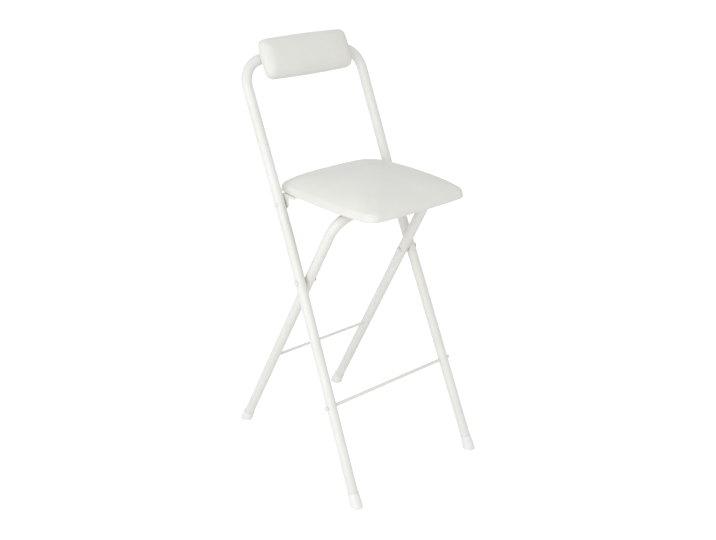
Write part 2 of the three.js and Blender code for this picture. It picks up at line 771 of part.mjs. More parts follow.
// Back pad on the front of the top tube: local x across, y up the frame, z to the front
frontFrame.add(backFrame);
const backPad = {
  halfW: backWidth / 2,
  halfD: backHeight / 2,
  nearCorner: backCorner,
  farCorner: backCorner,
  sideBow: backBow,
  endBow: backBow,
  edge: backEdge,
  crown: backCrown,
  margin: backMargin,
  boardThick: backBoardThick,
};
const backOutline = padOutline(backPad);
const backMiddle = new THREE.Vector3(0, -backDrop, tubeR + fit);
const teeNutBore = (backBoltD / 2 + fit) / Math.cos(Math.PI / smallSides);
const teeNutBarrelR = teeNutBore + teeNutWall;
const backHoles = sides.map(({ side }) => ({
  x: (side * backBoltSpacing) / 2,
  y: backDrop,
  radius: teeNutBarrelR + fit,
}));
const backBoard = padBoard(backOutline, backPad, backHoles);
const boardFront = coverThick + fit + backBoardThick;
const pocketFloor = boardFront - teeNutFlangeThick - fit;
const teeNutPockets = backHoles.map(({ x, y }) =>
  drill(teeNutFlangeD / 2 + fit, pocketFloor, boardFront + overrun).translate(x, y, 0),
);
piece(backFrame, "back_board", "wood", cut(backBoard, ...teeNutPockets), backMiddle);
piece(backFrame, "back_foam", "foam", padFoam(backOutline, backPad), backMiddle);
piece(backFrame, "back_cover", "vinyl", padCover(backOutline, backPad), backMiddle);

// Bolts from behind the tube into tee nuts let into the board
const teeNutTop = backMiddle.z + boardFront - fit / 2;
sides.forEach(({ word, side }) => {
  const x = (side * backBoltSpacing) / 2;
  const teeNut = revolve([
    [teeNutBore, -teeNutLength],
    [teeNutBarrelR, -teeNutLength],
    [teeNutBarrelR, -teeNutFlangeThick],
    [teeNutFlangeD / 2, -teeNutFlangeThick],
    [teeNutFlangeD / 2, 0],
    [teeNutBore, 0],
    [teeNutBore, -teeNutLength],
  ]);
  piece(backFrame, `back_tee_nut_${word}`, "zinc", teeNut, new THREE.Vector3(x, 0, teeNutTop));
  const headAt = -(tubeR + fit);
  const bolt = domeHeadPin(backBoltD / 2, teeNutTop - headAt, backBoltHeadD / 2, backBoltHeadRise);
  piece(backFrame, `back_bolt_${word}`, "zinc", bolt.rotateX(Math.PI), new THREE.Vector3(x, 0, headAt));
});

export default stool;
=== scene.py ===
import json
import math

import bmesh
import bpy
from mathutils import Matrix, Vector


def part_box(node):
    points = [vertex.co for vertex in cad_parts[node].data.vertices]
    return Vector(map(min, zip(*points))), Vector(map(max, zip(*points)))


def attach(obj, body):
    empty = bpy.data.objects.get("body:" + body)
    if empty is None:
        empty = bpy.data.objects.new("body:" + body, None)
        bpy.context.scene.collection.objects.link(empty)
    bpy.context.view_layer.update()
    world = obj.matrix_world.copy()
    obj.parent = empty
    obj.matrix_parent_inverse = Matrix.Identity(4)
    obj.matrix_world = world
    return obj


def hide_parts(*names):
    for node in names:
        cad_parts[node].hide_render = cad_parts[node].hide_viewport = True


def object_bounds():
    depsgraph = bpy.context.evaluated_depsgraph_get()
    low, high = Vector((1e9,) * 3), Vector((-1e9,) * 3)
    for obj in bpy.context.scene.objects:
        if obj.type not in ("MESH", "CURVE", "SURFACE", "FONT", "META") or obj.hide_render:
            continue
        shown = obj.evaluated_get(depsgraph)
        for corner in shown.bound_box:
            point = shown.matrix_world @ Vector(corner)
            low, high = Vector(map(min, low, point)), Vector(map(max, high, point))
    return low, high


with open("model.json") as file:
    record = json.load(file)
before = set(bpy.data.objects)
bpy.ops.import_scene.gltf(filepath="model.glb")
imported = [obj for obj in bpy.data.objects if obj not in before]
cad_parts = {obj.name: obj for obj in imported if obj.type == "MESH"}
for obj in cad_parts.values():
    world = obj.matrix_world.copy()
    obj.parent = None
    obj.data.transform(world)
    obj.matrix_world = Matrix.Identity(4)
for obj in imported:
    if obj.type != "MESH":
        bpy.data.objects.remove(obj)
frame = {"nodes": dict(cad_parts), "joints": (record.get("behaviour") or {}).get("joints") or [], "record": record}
cad_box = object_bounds()

MM = 0.001

# Tube frames
TUBE_R = 12.5 * MM
TUBE_WALL = 1.2 * MM
BEND_R = 60 * MM
SPLAY_R = 220 * MM
SPLAY_HEIGHT = 600 * MM
BACK_SPACING = 351 * MM
REAR_TAPER = 28 * MM
TUBE_SIDES = 64
BEND_STEP = math.radians(2.5)

# Clearances that the frame keeps between its pieces
FIT = 0.3 * MM
DISC_FIT = 0.45 * MM

# Foot caps
CAP_SOLE = 4 * MM
CAP_TOP_R = 13.76 * MM
CAP_NECK_R = 14.46 * MM
CAP_BASE_R = 15.26 * MM
CAP_BASE_LENGTH = 12 * MM
CAP_STEP = 1.2 * MM
CAP_LENGTH = 24 * MM
CAP_LIP = 0.4 * MM
CAP_EDGE = 1.6 * MM

# Footrest rod and rear bar
FOOTREST_HEIGHT = 226 * MM
FOOTREST_R = 4 * MM
FOOTREST_HEAD_R = 5.2 * MM
FOOTREST_HEAD_RISE = 9 * MM
FOOTREST_SHANK_R = 2 * MM
FOOTREST_SHANK = 16 * MM
FOOTREST_EDGE = 0.5 * MM
REAR_BAR_HEIGHT = 244 * MM
REAR_BAR_R = 3.5 * MM
BAR_SIDES = 40
WELD_R = 1.7 * MM
WELD_LUMPS = 13
WELD_LUMP = 0.13
WELD_WAVES = 5
WELD_WAVE = 0.06
WELD_CELLS = (52, 10)

# Crossing pivots
RIVET_R = 4 * MM
RIVET_HEAD_R = 7.5 * MM
RIVET_HEAD_RISE = 2.6 * MM
RIVET_TAIL_R = 6.5 * MM
RIVET_TAIL_RISE = 2.8 * MM
SPACER_R = 8.5 * MM
SPACER_THICK = 2.3 * MM
RIVET_WASHER_R = 8.5 * MM
RIVET_WASHER_THICK = 1.2 * MM
RIVET_DISC_EDGE = 0.35 * MM

# Seat hinges
HINGE_BOLT_R = 3 * MM
HINGE_HEAD_R = 6.5 * MM
HINGE_HEAD_RISE = 2.4 * MM
HINGE_WASHER_R = 8.5 * MM
HINGE_WASHER_THICK = 1.5 * MM
HINGE_WASHER_EDGE = 0.4 * MM
HINGE_NUT_FLATS = 10 * MM
HINGE_NUT_THICK = 5 * MM
HINGE_BOLT_TAIL = 1.8 * MM
NUT_SIDES = 72
NUT_DRAWN_SHARE = 0.9
NUT_CHAMFER_SLOPE = 0.55
THREAD_PITCH = 0.8 * MM
THREAD_DEPTH = 0.3 * MM
BRACKET_THICK = 2 * MM
BRACKET_EAR_R = 13 * MM
BRACKET_CORNER = 6 * MM
BRACKET_TIP = 3 * MM
BRACKET_BEND_R = 2.4 * MM
BRACKET_BEND_STEPS = 6
BRACKET_EDGE = 0.35 * MM

# Hooks for the rear frame's top tube. The lip goes on under it by some degrees
HOOK_THICK = 2.5 * MM
HOOK_LIP = 30
HOOK_STEPS = 26
HOOK_FILLET = 2.2 * MM
HOOK_EDGE = 0.4 * MM
SHEET_SHARP_ANGLE = math.radians(60)

# Screws and domes. A pan head's outline is in shares of its radius and rise
DOME_LIP_SHARE = 0.14
DOME_FOOT_SHARE = 0.985
SCREW_R = 2 * MM
SCREW_HEAD_R = 4.2 * MM
SCREW_HEAD_RISE = 2.4 * MM
SCREW_NECK_SHARE = 0.2
BACK_BOLT_R = 2.5 * MM
BACK_BOLT_HEAD_R = 5 * MM
BACK_BOLT_HEAD_RISE = 3.2 * MM
BACK_BOLT_SPACING = 150 * MM
BACK_BOLT_REACH = 8 * MM
PAN_FOOT = [(0.97, 0.0), (1.0, 0.12)]
PAN_EDGE_SHARE = 0.45
PAN_CROWN = [(0.72, 0.94), (0.4, 0.99), (0.0, 1.0)]
RECESS_DEPTH_SHARE = 0.62
RECESS_REACH_SHARE = 0.56
RECESS_WIDTH_SHARE = 0.17
RECESS_TOP_SHARE = 1.12
RECESS_FLOOR_SHARE = 0.42

# Pads
COVER_THICK = 1.2 * MM
SEAT = {
    "half_w": 148.5 * MM,
    "half_d": 168.5 * MM,
    "near_corner": 27 * MM,
    "far_corner": 26 * MM,
    "side_bow": 12.3 * MM,
    "end_bow": 5.5 * MM,
    "edge": 25.8 * MM,
    "dome": 44 * MM,
    "ease": 60 * MM,
    "fall_share": 0.13,
    "cells": (60, 70),
}
BACK = {
    "half_w": 127 * MM,
    "half_d": 47.5 * MM,
    "near_corner": 15 * MM,
    "far_corner": 15 * MM,
    "side_bow": 2.5 * MM,
    "end_bow": 2.5 * MM,
    "edge": 24 * MM,
    "dome": 11.5 * MM,
    "ease": 12 * MM,
    "fall_share": 0.0,
    "cells": (56, 22),
}
BACK_DROP = 6.2 * MM
DOME_ROUND = 3
FALL_START_SHARE = -0.2
# Shares of the edge's height: how far the rim is drawn in, and how high it is there
RIM_SHARES = [(0.13, 0.0), (0.03, 0.05), (0.0, 0.16), (0.0, 0.36), (0.03, 0.54), (0.1, 0.7), (0.2, 0.83)]
RIM_STEPS = 12
HEM_WIDTH = 16 * MM
HEM_STEPS = 4

# Cloth simulation of the covers: they are held up to a share of the edge's height, and less above it
PRESSURE = 4.0
STIFFNESS = {"tension": 40, "compression": 25, "shear": 15, "bending": 1.5}
HELD_SHARE = 0.1
HELD_FADE_SHARE = 0.25
SIM_FRAMES = 20
SLACK = 0.8 * MM
SLACK_FROM_SHARE = 0.12
SWELL_CAP = 1.6 * MM
SMOOTH_STEPS = 10

# Camera of the photo
CAMERA_AZIMUTH = math.radians(-40.83)
CAMERA_ELEVATION = math.radians(22.66)
CAMERA_DISTANCE = 2.4353
CAMERA_LENS_MM = 49.18
CAMERA_SENSOR_MM = 36
CAMERA_TARGET_HEIGHT = 0.4765
CAMERA_TARGET_RIGHT = 0.0218

# Stage
WHITE = (1, 1, 1, 1)
WORLD_LIGHT = 0.685
FLOOR_SIZE = 60.0
FLOOR_COLOUR = (0.86, 0.86, 0.855, 1)
FLOOR_SEEN_COLOUR = (0.45, 0.45, 0.45, 1)
FLOOR_SEEN_GLOW = 0.8

# Lamps: azimuth and elevation in degrees, and power. They stand on the image's left, low beside
# the camera, and a little over it
LAMPS = {"side": (-95, 25, 10), "front": (-62, 12, 18), "camera_side": (-35, 30, 11.5)}
LAMP_SIZE = 2.2
LAMP_DISTANCE = 3.0

# Colours: the two tones of each material's patches, and the span of noise between them
PATCH_SPAN = (0.35, 0.65)
COAT_TONES = ((0.810, 0.811, 0.772, 1), (0.840, 0.845, 0.812, 1))
VINYL_TONES = ((0.828, 0.825, 0.784, 1), (0.853, 0.850, 0.809, 1))
# Painted shade: the darker colour laid into the vinyl grain's valleys
VINYL_VALLEY_SHADE = (0.733, 0.723, 0.678, 1)
VINYL_WANDER = (1.2 * MM,) * 3
PLASTIC_TONES = ((0.868, 0.870, 0.857, 1), (0.9, 0.9, 0.89, 1))
NYLON_TONES = ((0.62, 0.59, 0.46, 1), (0.70, 0.67, 0.55, 1))
ZINC_TONES = ((0.70, 0.70, 0.69, 1), (0.80, 0.80, 0.78, 1))
WOOD_TONES = ((0.40, 0.255, 0.135, 1), (0.62, 0.45, 0.275, 1))
PLY_TONES = ((0.30, 0.19, 0.10, 1), (0.60, 0.44, 0.27, 1))
PLY_PAIR = 3 * MM

# The frame's own pieces that stay in view, by material slot
KEPT_NODES = {
    "plywood": ["seat_board", "back_board"],
    "fastener": ["back_tee_nut_left", "back_tee_nut_right"],
}

joints = {joint["name"]: Vector(joint["pos_m"]) for joint in frame["joints"]}
mounts = {mount["name"]: Vector(mount["pos_m"]) for mount in frame["record"]["mounts"]}
crossing = joints["rear_frame_fold"]
hinge = joints["seat_fold"]
SIDES = {"left": -1, "right": 1}


# Camera, stage and light

def towards(azimuth, elevation):
    """The direction from the stool out to a camera or lamp: 0 is in front, 90 degrees is +X."""
    level = math.cos(elevation)
    return Vector((math.sin(azimuth) * level, -math.cos(azimuth) * level, math.sin(elevation)))


def shade(mesh):
    mesh.shade_smooth()
    mesh.set_sharp_from_angle(angle=SHARP_ANGLE)


def link_new(name, data):
    made = bpy.data.objects.new(name, data)
    bpy.context.scene.collection.objects.link(made)
    return made


def link_aimed(name, data, target, back, distance):
    """A camera or lamp that looks at a point from a direction and a distance."""
    made = link_new(name, data)
    made.location = target + back * distance
    made.rotation_euler = (-back).to_track_quat("-Z", "Y").to_euler()
    return made


def kept_mesh(name, bm):
    """A mesh from a work mesh, which is freed."""
    mesh = bpy.data.meshes.new(name)
    bm.to_mesh(mesh)
    bm.free()
    return mesh


def make_camera():
    """The camera that took the photo, looking a little to the right of the stool's middle."""
    right = Vector((math.cos(CAMERA_AZIMUTH), math.sin(CAMERA_AZIMUTH), 0))
    target = Vector((0, 0, CAMERA_TARGET_HEIGHT)) + right * CAMERA_TARGET_RIGHT
    lens = bpy.data.cameras.new("photo_camera")
    lens.sensor_fit = "HORIZONTAL"
    lens.sensor_width = CAMERA_SENSOR_MM
    lens.lens = CAMERA_LENS_MM
    back = towards(CAMERA_AZIMUTH, CAMERA_ELEVATION)
    bpy.context.scene.camera = link_aimed("photo_camera", lens, target, back, CAMERA_DISTANCE)


class Nodes:
    """A short way to write a node tree: node(kind, socket=value or another node's output)."""

    def __init__(self, tree):
        self.tree = tree
        tree.nodes.clear()

    def node(self, kind, settings=None, **sockets):
        made = self.tree.nodes.new(kind)
        for name, value in (settings or {}).items():
            setattr(made, name, value)
        for name, value in sockets.items():
            socket = self.socket(made, name)
            if isinstance(value, bpy.types.NodeSocket):
                self.tree.links.new(value, socket)
            else:
                socket.default_value = value
        return made

    @staticmethod
    def socket(made, name):
        """An input by its number, as in i0, or by its name with _ for a space."""
        if name[0] == "i" and name[1:].isdigit():
            return made.inputs[int(name[1:])]
        plain = name.replace("_", " ").lower()
        return next(s for s in made.inputs if s.name.lower() == plain and s.enabled)

    def mix_colour(self, factor, first, second):
        mix = self.node("ShaderNodeMix", {"data_type": "RGBA"}, Factor=factor, A=first, B=second)
        return next(s for s in mix.outputs if s.enabled)

    def two_tone(self, value, low, high, first, second):
        """Two colours mixed by how far a value lies between low and high."""
        return self.mix_colour(self.span(value, low, high, 0.0, 1.0), first, second)

    def math(self, operation, first, second=0.0):
        return self.node("ShaderNodeMath", {"operation": operation}, i0=first, i1=second).outputs[0]

    def span(self, value, low, high, to_low, to_high):
        """A value's range mapped to another."""
        ranges = {"From_Min": low, "From_Max": high, "To_Min": to_low, "To_Max": to_high}
        return self.node("ShaderNodeMapRange", Value=value, **ranges).outputs["Result"]

    def noise(self, vector, scale, detail=2.0, roughness=0.5):
        sockets = {"Scale": scale, "Detail": detail, "Roughness": roughness}
        return self.node("ShaderNodeTexNoise", Vector=vector, **sockets).outputs["Fac"]


def lit_and_seen(nodes, light, seen):
    """One shader for the light it sends out, another for camera, mirror and clear rays."""
    path = nodes.node("ShaderNodeLightPath")
    looks = nodes.math("MAXIMUM", path.outputs["Is Camera Ray"], path.outputs["Is Glossy Ray"])
    looks = nodes.math("MAXIMUM", looks, path.outputs["Is Transmission Ray"])
    mix = nodes.node("ShaderNodeMixShader", i0=looks, i1=light.outputs[0], i2=seen.outputs[0])
    return mix.outputs[0]


def make_stage():
    """A pale floor that keeps a faint shadow, and a white world behind it."""
    world = bpy.data.worlds.new("studio")
    bpy.context.scene.world = world
    world.use_nodes = True
    nodes = Nodes(world.node_tree)
    ambient = nodes.node("ShaderNodeBackground", Color=WHITE, Strength=WORLD_LIGHT)
    white = nodes.node("ShaderNodeBackground", Color=WHITE)
    nodes.node("ShaderNodeOutputWorld", Surface=lit_and_seen(nodes, ambient, white))

    bm = bmesh.new()
    bmesh.ops.create_grid(bm, x_segments=1, y_segments=1, size=FLOOR_SIZE / 2)
    mesh = kept_mesh("floor", bm)
    paint = bpy.data.materials.new("floor")
    paint.use_nodes = True
    nodes = Nodes(paint.node_tree)
    diffuse = nodes.node("ShaderNodeBsdfDiffuse", Color=FLOOR_COLOUR)
    shaded = nodes.node("ShaderNodeBsdfDiffuse", Color=FLOOR_SEEN_COLOUR)
    glow = nodes.node("ShaderNodeEmission", Color=WHITE, Strength=FLOOR_SEEN_GLOW)
    seen = nodes.node("ShaderNodeAddShader", i0=shaded.outputs[0], i1=glow.outputs[0])
    nodes.node("ShaderNodeOutputMaterial", Surface=lit_and_seen(nodes, diffuse, seen))
    mesh.materials.append(paint)
    link_new("floor", mesh)


def make_lights():
    """Soft square lamps aimed at the stool's middle."""
    middle = (cad_box[0] + cad_box[1]) / 2
    for name, (azimuth, elevation, power) in LAMPS.items():
        lamp = bpy.data.lights.new(name, "AREA")
        lamp.shape = "RECTANGLE"
        lamp.size = lamp.size_y = LAMP_SIZE
        lamp.energy = power
        back = towards(math.radians(azimuth), math.radians(elevation))
        link_aimed(name, lamp, middle, back, LAMP_DISTANCE)


# Materials

def new_material(name):
    material = bpy.data.materials.new(name)
    material.use_nodes = True
    nodes = Nodes(material.node_tree)
    place = nodes.node("ShaderNodeTexCoord").outputs["Object"]
    return material, nodes, place


def finish_material(nodes, bump_height, bump_depth, **sockets):
    """The surface shader with its bump, joined to the output."""
    bump = nodes.node("ShaderNodeBump", Height=bump_height, Distance=bump_depth)
    shader = nodes.node("ShaderNodeBsdfPrincipled", Normal=bump.outputs[0], **sockets)
    nodes.node("ShaderNodeOutputMaterial", Surface=shader.outputs[0])


def powder_coat():
    """Satin off-white powder coat: fine orange peel and slight patches of warmth."""
    material, nodes, place = new_material("powder_coat")
    colour = nodes.two_tone(nodes.noise(place, 9.0, 3.0), *PATCH_SPAN, *COAT_TONES)
    peel = nodes.noise(place, 520.0, 2.0)
    grit = nodes.noise(place, 2600.0, 1.0)
    height = nodes.math("ADD", peel, nodes.math("MULTIPLY", grit, 0.18))
    roughness = nodes.span(nodes.noise(place, 40.0, 2.0), 0.3, 0.7, 0.34, 0.44)
    finish_material(nodes, height, 0.07 * MM, Base_Color=colour, Roughness=roughness)
    return material


def vinyl():
    """White upholstery vinyl: pebbled grain of about a millimetre, with painted shade in its valleys."""
    material, nodes, place = new_material("vinyl")
    bend = nodes.node("ShaderNodeTexNoise", Vector=place, Scale=260.0, Detail=2.0).outputs["Color"]
    wander = nodes.node(
        "ShaderNodeVectorMath", {"operation": "MULTIPLY_ADD"}, i0=bend, i1=VINYL_WANDER, i2=place
    ).outputs[0]
    edges = {"feature": "DISTANCE_TO_EDGE"}
    grain = nodes.node("ShaderNodeTexVoronoi", edges, Vector=wander, Scale=820.0, Randomness=0.9)
    cells = grain.outputs["Distance"]
    pebbles = nodes.span(cells, 0.0, 0.32, 0.0, 1.0)
    pores = nodes.noise(place, 3400.0, 2.0)
    height = nodes.math("ADD", pebbles, nodes.math("MULTIPLY", pores, 0.25))
    tone = nodes.two_tone(nodes.noise(place, 14.0, 3.0), *PATCH_SPAN, *VINYL_TONES)
    # Painted shade: the grain's valleys are given a darker colour
    colour = nodes.mix_colour(nodes.span(cells, 0.0, 0.1, 0.35, 0.0), tone, VINYL_VALLEY_SHADE)
    roughness = nodes.span(pebbles, 0.0, 1.0, 0.6, 0.46)
    finish_material(nodes, height, 0.11 * MM, Base_Color=colour, Roughness=roughness)
    return material


def moulded_plastic():
    """Pale grey-white plastic with the fine matte skin of its mould."""
    material, nodes, place = new_material("moulded_plastic")
    colour = nodes.mix_colour(nodes.noise(place, 60.0, 3.0), *PLASTIC_TONES)
    skin = nodes.noise(place, 1500.0, 3.0)
    roughness = nodes.span(nodes.noise(place, 220.0, 2.0), 0.3, 0.7, 0.46, 0.58)
    finish_material(nodes, skin, 0.06 * MM, Base_Color=colour, Roughness=roughness)
    return material


def nylon():
    """Natural nylon: warm and a little waxy, with a fine skin."""
    material, nodes, place = new_material("nylon")
    colour = nodes.mix_colour(nodes.noise(place, 180.0, 3.0), *NYLON_TONES)
    skin = nodes.noise(place, 1800.0, 2.0)
    roughness = nodes.span(skin, 0.3, 0.7, 0.36, 0.5)
    finish_material(nodes, skin, 0.04 * MM, Base_Color=colour, Roughness=roughness)
    return material


def zinc():
    """Zinc plate: pale metal with a fine brushed tooth and faint spangle."""
    material, nodes, place = new_material("zinc")
    spangle = nodes.node("ShaderNodeTexVoronoi", Vector=place, Scale=900.0).outputs["Color"]
    tone = nodes.node("ShaderNodeSeparateColor", Color=spangle).outputs["Red"]
    colour = nodes.mix_colour(tone, *ZINC_TONES)
    stretched = nodes.node("ShaderNodeMapping", Vector=place, Scale=(0.15, 1.0, 1.0)).outputs[0]
    tooth = nodes.noise(stretched, 4200.0, 3.0)
    roughness = nodes.span(tooth, 0.3, 0.7, 0.26, 0.42)
    finish_material(nodes, tooth, 0.03 * MM, Base_Color=colour, Roughness=roughness, Metallic=1.0)
    return material


def plywood():
    """Plain plywood: long grain on the faces and stacked plies on the edges."""
    material, nodes, place = new_material("plywood")
    along = nodes.node("ShaderNodeMapping", Vector=place, Scale=(1.0, 0.06, 1.0)).outputs[0]
    grain = nodes.noise(along, 260.0, 5.0, 0.62)
    figure = nodes.noise(along, 34.0, 3.0, 0.55)
    lines = nodes.math("ADD", nodes.math("MULTIPLY", grain, 0.6), nodes.math("MULTIPLY", figure, 0.4))
    face = nodes.two_tone(lines, 0.36, 0.64, *WOOD_TONES)
    height = nodes.node("ShaderNodeSeparateXYZ", Vector=place).outputs["Z"]
    plies = nodes.math("SINE", nodes.math("MULTIPLY", height, 2 * math.pi / PLY_PAIR))
    edge = nodes.two_tone(plies, -0.3, 0.3, *PLY_TONES)
    normal = nodes.node("ShaderNodeTexCoord").outputs["Normal"]
    upright = nodes.math("ABSOLUTE", nodes.node("ShaderNodeSeparateXYZ", Vector=normal).outputs["Z"])
    colour = nodes.two_tone(upright, 0.2, 0.35, edge, face)
    roughness = nodes.span(grain, 0.3, 0.7, 0.62, 0.8)
    finish_material(nodes, grain, 0.12 * MM, Base_Color=colour, Roughness=roughness)
    return material


finishes = {
    "coat": powder_coat(),
    "vinyl": vinyl(),
    "cap": moulded_plastic(),
    "nylon": nylon(),
    "fastener": zinc(),
    "plywood": plywood(),
}


# Mesh helpers

SHARP_ANGLE = math.radians(38)


def add_piece(name, bm, body, slot, *nodes):
    """Turns a work mesh into a shaded piece that rides on a body and stands for its nodes."""
    bmesh.ops.recalc_face_normals(bm, faces=bm.faces)
    mesh = kept_mesh(name, bm)
    mesh.materials.append(finishes[slot])
    shade(mesh)
    piece = link_new(name, mesh)
    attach(piece, body)
    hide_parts(*nodes)
    return piece


def join_rings(bm, first, second):
    """Faces between two rings of points; a ring of one point closes to it."""
    count = max(len(first), len(second))
    for i in range(count):
        j = (i + 1) % count
        if len(first) == 1:
            bm.faces.new((first[0], second[j], second[i]))
        elif len(second) == 1:
            bm.faces.new((first[i], first[j], second[0]))
        else:
            bm.faces.new((first[i], first[j], second[j], second[i]))


def join_all(bm, rings, closed=False):
    """Faces between rings in their order, and from the last to the first if closed."""
    following = rings[1:] + (rings[:1] if closed else [])
    for first, second in zip(rings, following):
        join_rings(bm, first, second)


def ring_at(bm, place, radii, height):
    """A ring of points round a matrix's Z, each as far out as its radius in the list."""
    ring = []
    for k, radius in enumerate(radii):
        angle = 2 * math.pi * k / len(radii)
        point = Vector((radius * math.cos(angle), radius * math.sin(angle), height))
        ring.append(bm.verts.new(place @ point))
    return ring


def lathe(pairs, place, sides=48):
    """A body of revolution from (radius, height) pairs along a matrix's Z.

    Pairs that end where they start make a ring.
    """
    bm = bmesh.new()
    closed = pairs[0] == pairs[-1]
    rings = []
    for radius, height in pairs[: len(pairs) - closed]:
        turns = 1 if radius < FIT / 10 else sides
        rings.append(ring_at(bm, place, [radius] * turns, height))
    join_all(bm, rings, closed)
    return bm


def aimed(point, direction):
    """A matrix whose Z points along a direction, at a point."""
    turn = Vector(direction).to_track_quat("Z", "Y").to_matrix().to_4x4()
    return Matrix.Translation(point) @ turn


def arc_pairs(centre_r, centre_h, radius, start, end, steps=5):
    """Points of a round edge in a lathe's outline, from one angle in degrees to another."""
    pairs = []
    for k in range(steps + 1):
        angle = math.radians(start + (end - start) * k / steps)
        pairs.append((centre_r + radius * math.cos(angle), centre_h + radius * math.sin(angle)))
    return pairs


def dome_pairs(radius, rise, steps=12):
    """A dome from its rim at height 0 to its top, with a short upright edge at the rim."""
    lip = rise * DOME_LIP_SHARE
    pairs = [(radius * DOME_FOOT_SHARE, 0.0), (radius, lip * 0.3), (radius, lip)]
    for k in range(1, steps + 1):
        angle = math.pi / 2 * k / steps
        pairs.append((radius * math.cos(angle), lip + (rise - lip) * math.sin(angle)))
    pairs[-1] = (0.0, rise)
    return pairs


def ring_pairs(outer, inner, thick, edge):
    """A washer's outline with rounded edges, from z = 0 up."""
    outline = [(inner, 0.0)]
    outline += arc_pairs(outer - edge, edge, edge, -90, 0, 4)
    outline += arc_pairs(outer - edge, thick - edge, edge, 0, 90, 4)
    outline += [(inner, thick), (inner, 0.0)]
    return outline


# Tubes

def bent_path(corners, bends):
    """Points and directions along straight runs joined by round bends."""
    stations = [(corners[0], (corners[1] - corners[0]).normalized())]
    for before, corner, after, radius in zip(corners, corners[1:], corners[2:], bends):
        into = (corner - before).normalized()
        out = (after - corner).normalized()
        turn = into.angle(out)
        axis = into.cross(out).normalized()
        start = corner - into * radius * math.tan(turn / 2)
        centre = start + axis.cross(into) * radius
        steps = max(2, math.ceil(turn / BEND_STEP))
        for k in range(steps + 1):
            spin = Matrix.Rotation(turn * k / steps, 3, axis)
            stations.append((centre + spin @ (start - centre), spin @ into))
    stations.append((corners[-1], (corners[-1] - corners[-2]).normalized()))
    return stations


def sweep_rings(bm, stations, radius):
    """Rings square to a path, turned as little as the path allows."""
    side = stations[0][1].orthogonal().normalized()
    rings = []
    last = stations[0][1]
    for point, along in stations:
        side = last.rotation_difference(along) @ side
        side = (side - along * side.dot(along)).normalized()
        across = along.cross(side)
        last = along
        ring = []
        for k in range(TUBE_SIDES):
            angle = 2 * math.pi * k / TUBE_SIDES
            ring.append(bm.verts.new(point + (side * math.cos(angle) + across * math.sin(angle)) * radius))
        rings.append(ring)
    return rings


def swept_tube(stations, outer, inner):
    """A tube with a wall, open at both ends."""
    bm = bmesh.new()
    skins = [sweep_rings(bm, stations, radius) for radius in (outer, inner)]
    for rings in skins:
        join_all(bm, rings)
    for end in (0, -1):
        join_rings(bm, skins[0][end], skins[1][end])
    return bm


def mirrored(point):
    return Vector((-point.x, point.y, point.z))


def tube_start(foot, along):
    """Where the tube is cut off inside its cap, up the leg from the floor."""
    lean = math.acos(along.z)
    return foot + along * (CAP_SOLE + TUBE_R * math.sin(lean)) / math.cos(lean)


def front_leg_point(height):
    """A point on the left front leg's axis."""
    foot = mounts["foot_front_left"]
    share = max(0.0, 1 - height / SPLAY_HEIGHT)
    x = -BACK_SPACING / 2 + (foot.x + BACK_SPACING / 2) * share
    return Vector((x, foot.y + (hinge.y - foot.y) * height / hinge.z, height))


def rear_leg_point(height):
    """A point on the left rear leg's axis."""
    foot = mounts["foot_rear_left"]
    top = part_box("rear_frame_tube")[1].z - TUBE_R
    y = foot.y + (crossing.y - foot.y) * height / crossing.z
    return Vector((foot.x + REAR_TAPER / 2 * height / top, y, height))


def frame_path(point_at, heights, bends):
    """The whole inverted U, from one foot over the top to the other."""
    foot = point_at(0.0)
    along = (point_at(heights[0]) - foot).normalized()
    left = [tube_start(foot, along)] + [point_at(height) for height in heights]
    corners = left + [mirrored(point) for point in reversed(left)]
    return bent_path(corners, bends + list(reversed(bends)))


def frame_tubes():
    for row, point_at, heights, bends in (
        ("front", front_leg_point, [SPLAY_HEIGHT], [SPLAY_R]),
        ("rear", rear_leg_point, [], []),
    ):
        node = f"{row}_frame_tube"
        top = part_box(node)[1].z - TUBE_R
        stations = frame_path(point_at, [*heights, top], [*bends, BEND_R])
        tube = swept_tube(stations, TUBE_R, TUBE_R - TUBE_WALL)
        add_piece(f"{row}_tube", tube, f"{row}_frame", "coat", node)


# Bars between the legs

def footrest():
    """A thin rod through both front legs, with a domed screw in each end."""
    middle = front_leg_point(FOOTREST_HEIGHT)
    middle.x = 0
    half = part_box("footrest_rod")[1].x
    flat = FOOTREST_R - FOOTREST_EDGE
    outline = [(0.0, -half)] + arc_pairs(flat, FOOTREST_EDGE - half, FOOTREST_EDGE, -90, 0)
    outline += arc_pairs(flat, half - FOOTREST_EDGE, FOOTREST_EDGE, 0, 90) + [(0.0, half)]
    rod = lathe(outline, aimed(middle, (1, 0, 0)), BAR_SIDES)
    add_piece("footrest_bar", rod, "front_frame", "coat", "footrest_rod")
    for word, side in SIDES.items():
        seat = middle + Vector((side * (half + DISC_FIT), 0, 0))
        head = dome_pairs(FOOTREST_HEAD_R, FOOTREST_HEAD_RISE)
        shank = [(0.0, -FOOTREST_SHANK), (FOOTREST_SHANK_R, -FOOTREST_SHANK), (FOOTREST_SHANK_R, 0.0)]
        screw = lathe(shank + head, aimed(seat, (side, 0, 0)))
        add_piece(f"footrest_end_{word}", screw, "front_frame", "coat", f"footrest_screw_{word}")


def weld_bead(place, radius, bead):
    """A lumpy bead round a bar where it is welded to a leg."""
    bm = bmesh.new()
    around, across = WELD_CELLS
    rings = []
    for i in range(around):
        turn = 2 * math.pi * i / around
        lump = 1 + WELD_LUMP * math.sin(WELD_LUMPS * turn) + WELD_WAVE * math.sin(WELD_WAVES * turn + 1)
        ring = []
        for k in range(across):
            angle = 2 * math.pi * k / across
            r = radius + bead * lump * math.cos(angle)
            h = bead * lump * math.sin(angle)
            ring.append(bm.verts.new(place @ Vector((r * math.cos(turn), r * math.sin(turn), h))))
        rings.append(ring)
    join_all(bm, rings, closed=True)
    return bm


